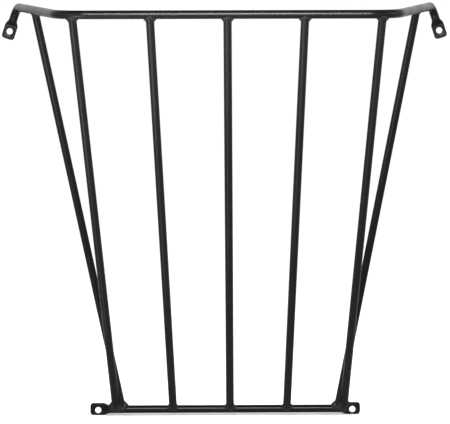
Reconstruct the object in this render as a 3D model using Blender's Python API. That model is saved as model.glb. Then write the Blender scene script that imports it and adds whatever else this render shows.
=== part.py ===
"""Wall hay rack: a basket of welded steel tube that bolts flat to a stable wall.

Metres, +Z up. The wall is the plane y = 0 and the rack stands out from it towards -Y,
so left and right are as seen from the front. The origin is on the wall, midway between
the two top bolt holes.
"""

import math

import bmesh
import bpy
from mathutils import Matrix, Vector

# Bolt holes, and the room kept clear of weld for a bolt's head beside the rail's feet
TOP_HOLE_SPACING = 0.714
RAIL_HOLE_SPACING = 0.426
HOLE_RISE = 0.635
BOLT_HOLE = 0.0105
BOLT_HEAD = 0.0150

# Top hoop: one tube that makes the front rail, both corners and both side arms
HOOP_TUBE = 0.0139
HOOP_DEPTH = 0.365
HOOP_FRONT_WIDTH = 0.529
HOOP_CORNER_RADIUS = 0.0515
HOOP_RISE = 0.0405
WALL_BEND_RADIUS = 0.018
LUG_LEAN = math.radians(18.0)

# Bottom rail
RAIL_TUBE = 0.0132
RAIL_HOLE_DROP = 0.002

# Bars
FRONT_BAR_TUBE = 0.0132
SIDE_BAR_TUBE = 0.0127
FRONT_BARS = 5
OUTER_BAR_TO_CORNER = 0.0205
OUTER_BAR_TO_HOLE = 0.0226
FEET_OFFSET = 0.0078
SIDE_BAR_STANDOFF = 0.162
SIDE_FOOT_BITE = 0.0026

# Tube wall and the flattened ends pressed from it
TUBE_WALL = 0.0015
LUG_SLIT = 0.0004
LUG_SPREAD = 1.02
LUG_END = 0.0122
LUG_FLAT = 0.0093
LUG_TAPER = 0.0110
LUG_CORNER = 0.0040
LUG_CROWN = 0.0010

# Weld beads: legs at the sides of a bar, and at its front and back where the tubes are flush.
# A foot weld ends this far in front of the wall.
WELD_BAR_LEG = 0.0070
WELD_RAIL_LEG = 0.0048
WELD_FLUSH_LEG = 0.0024
WELD_CROWN = 0.0010
WELD_HOLLOW = 0.0006
PAIR_WELD_EXTRA = 0.0016
FOOT_WELD_BACK = 0.0080

# Clearance between touching pieces, and how far a bead is sunk before it is cut to fit
FIT_GAP = 0.0003
BEAD_SINK = 0.0008

# Facets
TUBE_SIDES = 20
BEND_STEP = math.radians(15.0)
TAPER_STEPS = 5
CORNER_STEPS = 2
HOLE_SIDES = 24
FLAT_ANGLE = math.radians(1.0)

# Sizes that follow
HOOP_RADIUS = HOOP_TUBE / 2
RAIL_RADIUS = RAIL_TUBE / 2
RAIL_Z = RAIL_HOLE_DROP - HOLE_RISE
OUTER_TOP = HOOP_FRONT_WIDTH / 2 - OUTER_BAR_TO_CORNER
OUTER_FOOT = RAIL_HOLE_SPACING / 2 - OUTER_BAR_TO_HOLE
SIDE_FOOT = OUTER_FOOT + SIDE_FOOT_BITE - (FRONT_BAR_TUBE + SIDE_BAR_TUBE) / 2
CUTTER_REACH = 0.03
ALONG_RAIL = Vector((1.0, 0.0, 0.0))


def clear_scene():
    for item in list(bpy.data.objects):
        bpy.data.objects.remove(item, do_unlink=True)


def coat_material(name, colour, roughness):
    """Black powder coat, which hides the metal under it."""
    material = bpy.data.materials.new(name)
    material.use_nodes = True
    shader = material.node_tree.nodes["Principled BSDF"]
    shader.inputs["Base Color"].default_value = (*colour, 1.0)
    shader.inputs["Roughness"].default_value = roughness
    shader.inputs["Metallic"].default_value = 0.0
    return material


def add_object(name, bm, parent=None, material=None, location=(0, 0, 0), aim=None):
    """Link a mesh as an object, its local Z turned to aim. One without a material is a cutter."""
    bmesh.ops.recalc_face_normals(bm, faces=bm.faces)
    bm.normal_update()
    bmesh.ops.dissolve_limit(bm, angle_limit=FLAT_ANGLE, verts=bm.verts, edges=bm.edges)
    bmesh.ops.connect_verts_nonplanar(bm, angle_limit=FLAT_ANGLE, faces=bm.faces)
    if bm.calc_volume(signed=True) < 0:
        bmesh.ops.reverse_faces(bm, faces=bm.faces)
    mesh = bpy.data.meshes.new(name)
    bm.to_mesh(mesh)
    bm.free()
    mesh.shade_smooth()
    mesh.set_sharp_from_angle(angle=math.radians(40))
    item = bpy.data.objects.new(name, mesh)
    bpy.context.collection.objects.link(item)
    item.parent = parent
    item.location = location
    if aim is not None:
        across = (ALONG_RAIL - aim * aim.dot(ALONG_RAIL)).normalized()
        item.rotation_mode = "QUATERNION"
        item.rotation_quaternion = Matrix((across, aim.cross(across), aim)).transposed().to_quaternion()
    if material is None:
        item.hide_render = True
        item.display_type = "WIRE"
    else:
        mesh.materials.append(material)
    return item


def cut(item, cutters, operation="DIFFERENCE"):
    """Cut every cutter from a piece in one operation."""
    group = bpy.data.collections.new(item.name + "_" + operation.lower())
    for cutter in cutters:
        group.objects.link(cutter)
    modifier = item.modifiers.new(group.name, "BOOLEAN")
    modifier.operation = operation
    modifier.solver = "EXACT"
    modifier.operand_type = "COLLECTION"
    modifier.collection = group


class Path:
    """A centre line of straight runs joined by round bends, measured by its length."""

    def __init__(self, corners, radii):
        self.spans = []
        self.bends = []
        self.length = 0.0
        start = corners[0]
        for before, corner, after, radius in zip(corners, corners[1:], corners[2:], radii):
            inward = (corner - before).normalized()
            outward = (after - corner).normalized()
            turn = inward.angle(outward)
            setback = radius * math.tan(turn / 2)
            self.add_run(start, corner - inward * setback)
            self.bends.append((self.length, self.length + radius * turn, turn))
            side = (outward - inward * outward.dot(inward)).normalized()
            self.add_span(radius * turn, corner - inward * setback, inward, side, radius)
            start = corner + outward * setback
        self.add_run(start, corners[-1])

    def add_run(self, start, end):
        self.add_span((end - start).length, start, (end - start).normalized(), None, None)

    def add_span(self, length, start, heading, side, radius):
        self.spans.append((self.length, start, heading, side, radius))
        self.length += length

    def at(self, distance):
        """The point and the heading at a distance from the path's start."""
        span = max((s for s in self.spans if s[0] <= max(distance, 0.0)), key=lambda s: s[0])
        begun, start, heading, side, radius = span
        along = distance - begun
        if side is None:
            return start + heading * along, heading
        turned = along / radius
        offset = heading * math.sin(turned) + side * (1 - math.cos(turned))
        return start + offset * radius, heading * math.cos(turned) + side * math.sin(turned)


def smooth_step(value):
    value = min(max(value, 0.0), 1.0)
    return value * value * (3 - 2 * value)


def flattened_width(tube):
    """Width of a tube pressed flat: half the wall's own length, a little spread by the press."""
    return (math.pi * (tube - TUBE_WALL) / 2 + TUBE_WALL) * LUG_SPREAD


def obround_point(share, width, thickness):
    """The point at a share of the way round a flat section with round edges."""
    straight = width - thickness
    edge = math.pi * thickness / 2
    along = (share % 1.0) * 2 * (straight + edge) + edge / 2
    sign = 1
    while along >= straight + edge:
        along -= straight + edge
        sign = -sign
    if along < edge:
        angle = 2 * along / thickness - math.pi / 2
        return (sign * (straight + thickness * math.cos(angle)) / 2,
                sign * thickness * math.sin(angle) / 2)
    return sign * (straight / 2 - (along - edge)), sign * thickness / 2


class LuggedTube:
    """A tube on a path whose two ends are pressed into flat lugs, flush with the tube's back."""

    def __init__(self, path, tube, wall_side):
        self.path = path
        self.tube = tube
        self.wall_side = wall_side

    def stations(self):
        """Distances of the rings: the lug's round corners, its taper and the bends."""
        flat_end = LUG_END + LUG_FLAT
        near = [LUG_CORNER * (1 - math.cos(math.pi / 2 * k / CORNER_STEPS)) for k in range(CORNER_STEPS + 1)]
        near += [flat_end + LUG_TAPER * k / TAPER_STEPS for k in range(TAPER_STEPS + 1)]
        rings = near + [self.path.length - distance for distance in near]
        for start, end, turn in self.path.bends:
            steps = max(2, round(turn / BEND_STEP))
            rings += [start + (end - start) * k / steps for k in range(steps + 1)]
        return sorted(rings)

    def section(self, distance, grow):
        """One ring: round tube or pressed lug, made larger by grow or smaller where it is negative."""
        point, heading = self.path.at(distance)
        back = self.wall_side(distance)
        back = (back - heading * back.dot(heading)).normalized()
        across = heading.cross(back)
        from_end = min(distance, self.path.length - distance)
        flatness = smooth_step((LUG_END + LUG_FLAT + LUG_TAPER - from_end) / LUG_TAPER)
        into_corner = max(0.0, 1 - from_end / LUG_CORNER)
        trim = LUG_CORNER * (1 - math.sqrt(1 - into_corner ** 2))
        thickness = 2 * TUBE_WALL + LUG_SLIT
        width = flattened_width(self.tube) - 2 * trim
        outwards = -heading if distance < self.path.length / 2 else heading
        ring = []
        for k in range(TUBE_SIDES):
            share = k / TUBE_SIDES
            u, v = obround_point(share, width + 2 * grow, thickness + 2 * grow)
            v += (self.tube - thickness) / 2
            radius = self.tube / 2 + grow
            u = u * flatness + radius * math.cos(2 * math.pi * share) * (1 - flatness)
            v = v * flatness + radius * math.sin(2 * math.pi * share) * (1 - flatness)
            crown = LUG_CROWN * (1 - (2 * u / flattened_width(self.tube)) ** 2)
            push = crown * max(0.0, 1 - from_end / (2 * LUG_CORNER))
            if grow > 0 and from_end == 0:
                push += grow
            ring.append(point + across * u + back * v + outwards * push)
        return ring

    def mesh(self):
        """The tube itself, open at both ends."""
        bm = bmesh.new()
        outer = [add_ring(bm, self.section(distance, 0.0)) for distance in self.stations()]
        inner = [add_ring(bm, self.section(distance, -TUBE_WALL)) for distance in self.stations()]
        skin(bm, outer + inner[::-1] + outer[:1])
        return bm

    def core(self):
        """A solid of the tube's outside with the fitting gap added, which cuts what is fitted to it."""
        bm = bmesh.new()
        rings = [add_ring(bm, self.section(distance, FIT_GAP)) for distance in self.stations()]
        skin(bm, rings)
        cap(bm, rings[0])
        cap(bm, rings[-1])
        return bm


def add_ring(bm, points):
    return [bm.verts.new(point) for point in points]


def skin(bm, rings):
    """Faces between each ring and the next."""
    for ring, following in zip(rings, rings[1:]):
        for k in range(len(ring)):
            after = (k + 1) % len(ring)
            bm.faces.new((ring[k], ring[after], following[after], following[k]))


def cap(bm, ring, centre=None):
    """Close a ring with a fan of triangles."""
    if centre is None:
        centre = sum((vertex.co for vertex in ring), Vector()) / len(ring)
    hub = bm.verts.new(centre)
    for k in range(len(ring)):
        bm.faces.new((ring[k], ring[(k + 1) % len(ring)], hub))


def circle(radius, height, sides=TUBE_SIDES):
    turns = (2 * math.pi * k / sides for k in range(sides))
    return [Vector((radius * math.cos(turn), radius * math.sin(turn), height)) for turn in turns]


def rod_mesh(radius, start, end, sides=TUBE_SIDES):
    """A solid round bar along Z."""
    bm = bmesh.new()
    rings = [add_ring(bm, circle(radius, height, sides)) for height in (start, end)]
    skin(bm, rings)
    cap(bm, rings[0])
    cap(bm, rings[1])
    return bm


def tube_mesh(radius, length):
    """A tube along Z, open at both ends."""
    bm = bmesh.new()
    outer = [add_ring(bm, circle(radius, height)) for height in (0.0, length)]
    inner = [add_ring(bm, circle(radius - TUBE_WALL, height)) for height in (length, 0.0)]
    skin(bm, outer + inner + outer[:1])
    return bm


def hoop_path():
    """From the left lug's end up to the wall bend, round the front and down to the right lug's end."""
    wall_corner = Vector((TOP_HOLE_SPACING / 2 - HOOP_RISE * math.tan(LUG_LEAN), -HOOP_RADIUS, HOOP_RISE))
    front_corner = Vector((HOOP_FRONT_WIDTH / 2, -HOOP_DEPTH, HOOP_RISE))
    down = Vector((math.sin(LUG_LEAN), 0.0, -math.cos(LUG_LEAN)))
    lug_tip = wall_corner + down * (HOOP_RISE / math.cos(LUG_LEAN) + LUG_END)
    half = [lug_tip, wall_corner, front_corner]
    mirrored = [Vector((-corner.x, corner.y, corner.z)) for corner in half]
    radii = [WALL_BEND_RADIUS, HOOP_CORNER_RADIUS, HOOP_CORNER_RADIUS, WALL_BEND_RADIUS]
    return Path(mirrored + half[::-1], radii)


def hoop_back(path):
    """Which way the tube's back faces: the wall at the lugs, up along the hoop."""
    start, end, _ = path.bends[0]

    def back(distance):
        from_end = min(distance, path.length - distance)
        turned = min(max((from_end - start) / (end - start), 0.0), 1.0) * math.pi / 2
        return Vector((0.0, math.cos(turned), math.sin(turned)))

    return back


def rail_path():
    reach = RAIL_HOLE_SPACING / 2 + LUG_END
    return Path([Vector((side * reach, -RAIL_RADIUS, RAIL_Z)) for side in (-1, 1)], [])


def distance_at(path, reached):
    """The distance along a path at which reached(point) first holds, found by halving."""
    low, high = 0.0, path.length
    for _ in range(50):
        middle = (low + high) / 2
        if reached(path.at(middle)[0]):
            high = middle
        else:
            low = middle
    return high


class Bar:
    """A straight bar between a joint on the hoop and a joint on the rail."""

    def __init__(self, name, tube, host_top, top_at, host_foot, foot_at):
        self.name = name
        self.radius = tube / 2
        self.top = (host_top, top_at)
        self.foot = (host_foot, foot_at)
        self.start = host_foot.path.at(foot_at)[0]
        run = host_top.path.at(top_at)[0] - self.start
        self.length = run.length
        self.aim = run.normalized()

    def joint(self, end):
        """The host tube, the joint's distance along it and the direction away from it."""
        host, at = self.top if end == "top" else self.foot
        return host, at, -self.aim if end == "top" else self.aim


def plan_bars(hoop, rail):
    """The five front bars from left to right, then the left and the right side bar."""
    bars = []
    for number in range(FRONT_BARS):
        place = 2 * number / (FRONT_BARS - 1) - 1
        top_at = distance_at(hoop.path, lambda p: p.x > place * OUTER_TOP and p.y < 2 * -HOOP_RADIUS)
        foot_at = rail.path.length / 2 + FEET_OFFSET + place * OUTER_FOOT
        bars.append(Bar("front_bar_%d" % (number + 1), FRONT_BAR_TUBE, hoop, top_at, rail, foot_at))
    left_top = distance_at(hoop.path, lambda p: p.y < -SIDE_BAR_STANDOFF)
    for side, name in ((-1, "left"), (1, "right")):
        top_at = left_top if side < 0 else hoop.path.length - left_top
        foot_at = rail.path.length / 2 + FEET_OFFSET + side * SIDE_FOOT
        bars.append(Bar("side_bar_" + name, SIDE_BAR_TUBE, hoop, top_at, rail, foot_at))
    return bars


def collar_mesh(bar, end, extra=0.0):
    """A solid round a bar's end, from which the two tubes are cut to leave the weld bead.

    The seam of the two tubes is found first. The bead's skin runs from the bar, a leg above
    the seam, to the host, a leg beside it. Its legs are longest at the bar's sides, where the
    tubes meet square, and short in front and behind, where they are flush.
    """
    host, at, away = bar.joint(end)
    joint, heading = host.path.at(at)
    normal = heading.cross(away).normalized()
    rise = normal.cross(heading)
    lean = heading.dot(away)
    square = away.dot(rise)
    sideways = (heading - away * lean) / square
    host_radius = host.tube / 2

    seam = []
    for k in range(TUBE_SIDES):
        turn = 2 * math.pi * (k + 0.5) / TUBE_SIDES
        out = bar.radius * math.sin(turn)
        level = math.sqrt(max(host_radius ** 2 - out ** 2, 0.0))
        height = (level + bar.radius * math.cos(turn) * lean) / square
        along = bar.radius * math.cos(turn) * square + height * lean
        seam.append((turn, height, along, host_radius * math.atan2(out, level)))

    def host_point(along, around, depth):
        centre, direction = host.path.at(at + along)
        up = (rise - direction * rise.dot(direction)).normalized()
        side = direction.cross(up) * -1
        if side.dot(normal) < 0:
            side = -side
        angle = around / host_radius
        radial = up * math.cos(angle) + side * math.sin(angle)
        return centre + radial * (host_radius - depth), radial

    bar_ring, crown_ring, host_ring = [], [], []
    for k, (turn, height, along, around) in enumerate(seam):
        before, after = seam[k - 1], seam[(k + 1) % len(seam)]
        tangent = Vector((after[2] - before[2], after[3] - before[3]))
        outward = Vector((tangent.y, -tangent.x)).normalized()
        if outward.dot(Vector((along, around))) < 0:
            outward = -outward
        squareness = math.cos(turn) ** 2
        bar_leg = WELD_FLUSH_LEG + (WELD_BAR_LEG - WELD_FLUSH_LEG) * squareness + extra
        host_leg = WELD_FLUSH_LEG + (WELD_RAIL_LEG - WELD_FLUSH_LEG) * squareness + extra
        radial = sideways * math.cos(turn) + normal * math.sin(turn)
        foot = joint + away * (height + bar_leg)
        toe = (along + outward.x * host_leg, around + outward.y * host_leg)
        host_skin, host_radial = host_point(*toe, 0.0)
        swell = WELD_CROWN + extra / 2 - (WELD_CROWN + WELD_HOLLOW) * squareness
        middle = (foot + radial * bar.radius + host_skin) / 2
        bar_ring.append(foot + radial * (bar.radius - BEAD_SINK))
        crown_ring.append(middle + (radial + host_radial).normalized() * swell)
        host_ring.append(host_point(*toe, BEAD_SINK)[0])

    bm = bmesh.new()
    rings = [add_ring(bm, points) for points in (bar_ring, crown_ring, host_ring)]
    skin(bm, rings)
    top = sum((point for point in bar_ring), Vector()) / len(bar_ring)
    cap(bm, rings[0], top)
    cap(bm, rings[-1], joint)
    return bm


def wall_block():
    """A slab behind the rail: foot welds stop at it, so that the rail's back sits flat on the wall."""
    bm = bmesh.new()
    bmesh.ops.create_cube(bm, size=2.0)
    bmesh.ops.scale(bm, verts=bm.verts, vec=(TOP_HOLE_SPACING, CUTTER_REACH, CUTTER_REACH))
    bmesh.ops.translate(bm, verts=bm.verts, vec=(0.0, CUTTER_REACH - FOOT_WELD_BACK, RAIL_Z))
    return bm


def bolt_cutter(name, diameter, x, z):
    """A cutter along Y, for a lug's hole or for the room round it."""
    aim = Vector((0.0, 1.0, 0.0))
    bm = rod_mesh(diameter / 2, -CUTTER_REACH, CUTTER_REACH, HOLE_SIDES)
    return add_object(name, bm, location=(x, 0.0, z), aim=aim)


def build():
    clear_scene()
    rack = bpy.data.objects.new("wall_hay_rack", None)
    bpy.context.collection.objects.link(rack)
    coat = {
        "hoop": coat_material("hoop_coat", (0.020, 0.020, 0.021), 0.42),
        "rail": coat_material("rail_coat", (0.018, 0.018, 0.019), 0.42),
        "bar": coat_material("bar_coat", (0.022, 0.022, 0.023), 0.45),
        "weld": coat_material("weld_coat", (0.035, 0.035, 0.037), 0.60),
    }

    path = hoop_path()
    hoop = LuggedTube(path, HOOP_TUBE, hoop_back(path))
    rail = LuggedTube(rail_path(), RAIL_TUBE, lambda distance: Vector((0.0, 1.0, 0.0)))
    cores = {}
    for name, tube, kind, spacing, height in (
            ("top_hoop", hoop, "hoop", TOP_HOLE_SPACING, 0.0),
            ("bottom_rail", rail, "rail", RAIL_HOLE_SPACING, -HOLE_RISE)):
        item = add_object(name, tube.mesh(), rack, coat[kind])
        cores[kind] = add_object(name + "_core", tube.core())
        cut(item, [bolt_cutter("%s_hole_%s" % (name, word), BOLT_HOLE, side * spacing / 2, height)
                   for side, word in ((-1, "left"), (1, "right"))])

    bars = plan_bars(hoop, rail)
    rods = {}
    for bar in bars:
        add_object(bar.name, tube_mesh(bar.radius, bar.length), rack, coat["bar"], bar.start, bar.aim)
        rod = rod_mesh(bar.radius + FIT_GAP, -FIT_GAP, bar.length + FIT_GAP)
        rods[bar.name] = add_object(bar.name + "_core", rod, location=bar.start, aim=bar.aim)

    # Each side bar is ground away where it passes behind the foot of the outer front bar
    fronts, left_side, right_side = bars[:-2], bars[-2], bars[-1]
    pairs = ((left_side, fronts[0], "left", -1), (right_side, fronts[-1], "right", 1))
    passed = {side_bar.name: [rods[outer_bar.name]] for side_bar, outer_bar, word, side in pairs}
    for bar in bars:
        cut(bpy.data.objects[bar.name], [cores["hoop"], cores["rail"]] + passed.get(bar.name, []))

    wall = add_object("wall_block", wall_block())
    for bar in bars:
        weld = add_object("weld_top_" + bar.name, collar_mesh(bar, "top"), rack, coat["weld"])
        cut(weld, [cores["hoop"], rods[bar.name]])
    for bar in fronts[1:-1]:
        weld = add_object("weld_foot_" + bar.name, collar_mesh(bar, "foot"), rack, coat["weld"])
        cut(weld, [cores["rail"], rods[bar.name], wall])

    # At each end of the rail one weld holds the outer front bar and the side bar together
    for side_bar, outer_bar, word, side in pairs:
        inner = add_object("collar_" + side_bar.name, collar_mesh(side_bar, "foot", PAIR_WELD_EXTRA))
        outer = collar_mesh(outer_bar, "foot", PAIR_WELD_EXTRA)
        weld = add_object("weld_foot_pair_" + word, outer, rack, coat["weld"])
        cut(weld, [inner], "UNION")
        seat = bolt_cutter("bolt_head_" + word, BOLT_HEAD, side * RAIL_HOLE_SPACING / 2, -HOLE_RISE)
        cut(weld, [cores["rail"], rods[outer_bar.name], rods[side_bar.name], wall, seat])


build()
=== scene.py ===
"""Looks of the wall hay rack: black powder coated steel tube, pressed lugs and rippled weld beads.

Metres, +Z up. The wall is the plane y = 0 and the rack stands out from it towards -Y, so left
and right are as seen from the front. The origin is on the wall, midway between the top bolt
holes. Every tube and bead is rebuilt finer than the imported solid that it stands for.
"""

import math

import bmesh
import bpy
from bpy.props import FloatProperty, FloatVectorProperty, IntProperty, PointerProperty
from mathutils import Matrix, Vector, noise
from mathutils.bvhtree import BVHTree


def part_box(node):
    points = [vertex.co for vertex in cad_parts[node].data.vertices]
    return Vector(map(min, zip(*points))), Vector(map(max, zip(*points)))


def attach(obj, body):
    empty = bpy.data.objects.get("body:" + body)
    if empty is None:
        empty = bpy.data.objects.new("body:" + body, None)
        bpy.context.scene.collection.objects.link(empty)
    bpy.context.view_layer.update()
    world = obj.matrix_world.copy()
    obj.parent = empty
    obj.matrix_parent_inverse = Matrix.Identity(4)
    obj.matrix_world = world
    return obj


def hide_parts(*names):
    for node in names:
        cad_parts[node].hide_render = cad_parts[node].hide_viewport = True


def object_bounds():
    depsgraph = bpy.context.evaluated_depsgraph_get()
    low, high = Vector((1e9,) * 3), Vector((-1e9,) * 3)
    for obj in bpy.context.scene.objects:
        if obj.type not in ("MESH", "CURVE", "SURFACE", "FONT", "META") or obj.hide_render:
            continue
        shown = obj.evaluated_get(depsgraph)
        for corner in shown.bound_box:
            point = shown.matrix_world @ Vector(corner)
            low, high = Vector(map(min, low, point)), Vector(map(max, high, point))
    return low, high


bl_info = {
    "name": "Wall hay rack",
    "version": (1, 0, 0),
    "blender": (4, 5, 0),
    "location": "3D View > Sidebar > Hay rack",
    "description": "Builds the tubes, lugs, weld beads and coating of a wall hay rack",
    "category": "Object",
}

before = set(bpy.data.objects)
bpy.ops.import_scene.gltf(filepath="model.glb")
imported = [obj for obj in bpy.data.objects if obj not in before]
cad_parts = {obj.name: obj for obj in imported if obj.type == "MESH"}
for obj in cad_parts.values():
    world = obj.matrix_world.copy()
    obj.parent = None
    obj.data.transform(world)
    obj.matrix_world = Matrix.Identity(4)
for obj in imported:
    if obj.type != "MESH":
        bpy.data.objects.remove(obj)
CAD_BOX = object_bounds()

ALONG_RAIL = Vector((1.0, 0.0, 0.0))
TO_WALL = Vector((0.0, 1.0, 0.0))
SIDES = (("left", -1), ("right", 1))
SHARP_ANGLE = math.radians(38.0)
PLACE_SLACK = 0.004

# How finely the tubes, the holes and the beads are cut up
BEND_STEP = math.radians(4.0)
FLAT_STEP = 0.0011
TAPER_STEPS = 20
CORNER_STEPS = 8
EDGE_STEPS = 4
RIM_STEPS = 5
CUTTER_SIDES = 64
BAR_RINGS = (0.0, 0.35, 0.65, 1.0)
RING_BEAD_STEPS = 176
OPEN_BEAD_STEPS = 120
WELD_STEPS = 10

# What cuts a piece to fit: how far it reaches past the piece, and the gap that it leaves
ROD_OVERRUN = 0.02
GROUND_GAP = 0.0001
PAIR_REACH = 0.05

# A bead's ripples: how far their ends lag, how sharp they are, and what is left at an open end
RIPPLE_LAG = 0.45
RIPPLE_POWER = 0.7
END_SHARE = 0.12

# Sizes of the patches, specks and lumps in the coat
PATCH_SIZE = 0.035
SPECK_SIZE = 0.0024
LUMP_SIZE = 0.0032

# The floor: its rings, its gap under the rack, and how its white fades in a painted shade of the
# rack
FLOOR_RINGS = (0.25, 1.0, 4.0, 60.0)
FLOOR_SIDES = 96
FLOOR_GAP = 0.0008
FLOOR_WHITE = 0.97
FLOOR_IN_COAT = 0.70
SHADE_REACH = 0.05
SHADE_POWER = 1.5

# Each lamp: what sets its power, its place, aim and size, and its grid's angle in degrees
LOW_AIM = (0.381, 0.456, 0.804)
LAMPS = {
    "softbox": ("key_power", (0.02, -1.75, 0.66), (0.0, 0.92, -0.38), (0.66, 0.85), 42),
    "left_box": ("side_power", (-1.25, -1.35, 0.20), (1.0, 0.95, -0.1), (0.8, 0.8), 60),
    "right_box": ("side_power", (1.60, -0.55, 0.20), (-1.0, 0.0, -0.1), (0.8, 0.8), 60),
    "front_panel": ("front_power", (-0.50, -0.95, -0.42), (0.50, 0.85, 0.35), (0.50, 0.30), 90),
    "upper_panel": ("upper_power", (-0.258, -0.576, -0.358), LOW_AIM, (0.70, 0.34), 50),
    "lower_panel": ("lower_power", (-0.192, -0.497, -0.435), LOW_AIM, (0.70, 0.60), 50),
    "face_panel": ("face_power", (0.0, -1.50, -0.11), (0.0, 1.0, 0.09), (1.10, 0.18), 60),
}


def length(name, description, default):
    return FloatProperty(name=name, description=description, default=default, min=0.0,
                         precision=4, unit="LENGTH")


def share(name, description, default, highest=1.0):
    return FloatProperty(name=name, description=description, default=default, min=0.0, max=highest)


def colour(name, description, default):
    return FloatVectorProperty(name=name, description=description, default=default, size=3,
                               min=0.0, max=1.0, subtype="COLOR")


def watts(name, description, default):
    return FloatProperty(name=name, description=description, default=default, min=0.0, unit="POWER")


class RackSizes(bpy.types.PropertyGroup):
    """Sizes of the bent and welded tubes"""

    top_hole_spacing: length("Top hole spacing", "Between the two top bolt holes", 0.714)
    rail_hole_spacing: length("Rail hole spacing", "Between the two lower bolt holes", 0.426)
    hole_rise: length("Hole rise", "From the lower bolt holes up to the top ones", 0.635)
    bolt_hole: length("Bolt hole", "Diameter of the bolt holes", 0.0105)
    bolt_head: length("Bolt head", "Room kept clear of weld round the lower bolt holes", 0.0150)
    hoop_tube: length("Hoop tube", "Outside diameter of the top hoop's tube", 0.0139)
    hoop_depth: length("Hoop depth", "From the wall to the front rail's centre", 0.365)
    hoop_front: length("Hoop front", "Width of the hoop at the front, at its corners", 0.529)
    hoop_rise: length("Hoop rise", "Height of the hoop above the top bolt holes", 0.0405)
    corner_radius: length("Corner radius", "Centre line radius of the hoop's front corners", 0.0515)
    wall_bend: length("Wall bend", "Centre line radius of the bends down to the lugs", 0.018)
    lug_lean: FloatProperty(name="Lug lean", description="How far the top lugs lean outwards",
                            default=math.radians(18.0), subtype="ANGLE")
    rail_tube: length("Rail tube", "Outside diameter of the bottom rail", 0.0132)
    rail_hole_drop: length("Rail hole drop", "The lower bolt holes below the rail's centre", 0.002)
    front_tube: length("Front bar tube", "Outside diameter of the front bars", 0.0132)
    side_tube: length("Side bar tube", "Outside diameter of the side bars", 0.0127)
    tube_wall: length("Tube wall", "Wall thickness of every tube", 0.0015)
    front_bars: IntProperty(name="Front bars", description="Number of front bars", default=5, min=2)
    outer_bar_to_corner: length("Outer bar to corner", "From an outer bar's top to the corner",
                                0.0205)
    outer_bar_to_hole: length("Outer bar to hole", "From an outer bar's foot to the hole", 0.0226)
    feet_offset: length("Feet offset", "How far the feet sit to the right on the rail", 0.0078)
    side_standoff: length("Side bar standoff", "From the wall to a side bar's top", 0.162)
    side_bite: length("Side bar bite", "How deep a side bar is ground to fit the outer bar", 0.0026)
    sides: IntProperty(name="Tube sides", description="Facets round each tube", default=64, min=12)


class LugSizes(bpy.types.PropertyGroup):
    """Sizes of the tube ends that are pressed flat"""

    slit: length("Slit", "Left between the two walls", 0.0004)
    spread: share("Spread", "How far the press widens the wall", 1.02, 2.0)
    end: length("End", "From the hole's centre to the lug's end", 0.0122)
    flat: length("Flat", "Flat length on the hole's other side", 0.0093)
    taper: length("Taper", "Length over which the flat turns into the round tube", 0.0110)
    corner: length("Corner", "Radius of the lug's corners", 0.0040)
    crown: length("Crown", "How far the end's middle stands out", 0.0010)
    edge_round: length("Edge round", "Radius of the sheared end's edge", 0.0005)
    rim_round: length("Rim round", "Radius of the bolt hole's rim", 0.0006)
    dish: length("Dish", "Depth of the press mark round the hole", 0.0004)
    dish_radius: length("Dish radius", "Radius of the press mark", 0.0085)


class WeldSizes(bpy.types.PropertyGroup):
    """Sizes of the weld beads"""

    bar_leg: length("Bar leg", "How far a bead climbs the bar at its sides", 0.0070)
    rail_leg: length("Rail leg", "How far a bead runs along the rail at a bar's sides", 0.0048)
    flush_leg: length("Flush leg", "Both legs where the two tubes are flush", 0.0024)
    crown: length("Crown", "How proud a bead is where the tubes are flush", 0.0010)
    hollow: length("Hollow", "How hollow a bead is at the bar's sides", 0.0006)
    pair_extra: length("Pair extra", "Added to the legs where two bars share a weld", 0.0016)
    foot_back: length("Foot back", "Where a foot weld ends in front of the wall", 0.0080)
    ripple_pitch: length("Ripple pitch", "Between the ripples along a bead", 0.0021)
    ripple_height: length("Ripple height", "Height of the ripples", 0.00022)
    wander: share("Wander", "How unevenly the legs run, as a share of them", 0.10)
    sink: length("Sink", "How far a bead's edges lie under the tubes' skins", 0.00025)


class CoatLook(bpy.types.PropertyGroup):
    """Colour and finish of the powder coat"""

    colour: colour("Coat", "Colour of the powder coat", (0.0036, 0.0036, 0.0040))
    thin: colour("Thin coat", "Colour where the coat is thin or dusty", (0.0095, 0.0095, 0.0102))
    weld: colour("Weld coat", "Colour of the coat on the weld beads", (0.0160, 0.0160, 0.0168))
    roughness: share("Roughness", "Roughness of the coat on the tubes", 0.26)
    weld_roughness: share("Weld roughness", "Roughness of the coat on the beads", 0.40)
    gloss: share("Gloss", "Specular level of the coat", 0.11)
    peel_size: length("Peel size", "Width of the orange peel's cells", 0.0016)
    peel_depth: length("Peel depth", "Depth of the orange peel", 0.00002)


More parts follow.
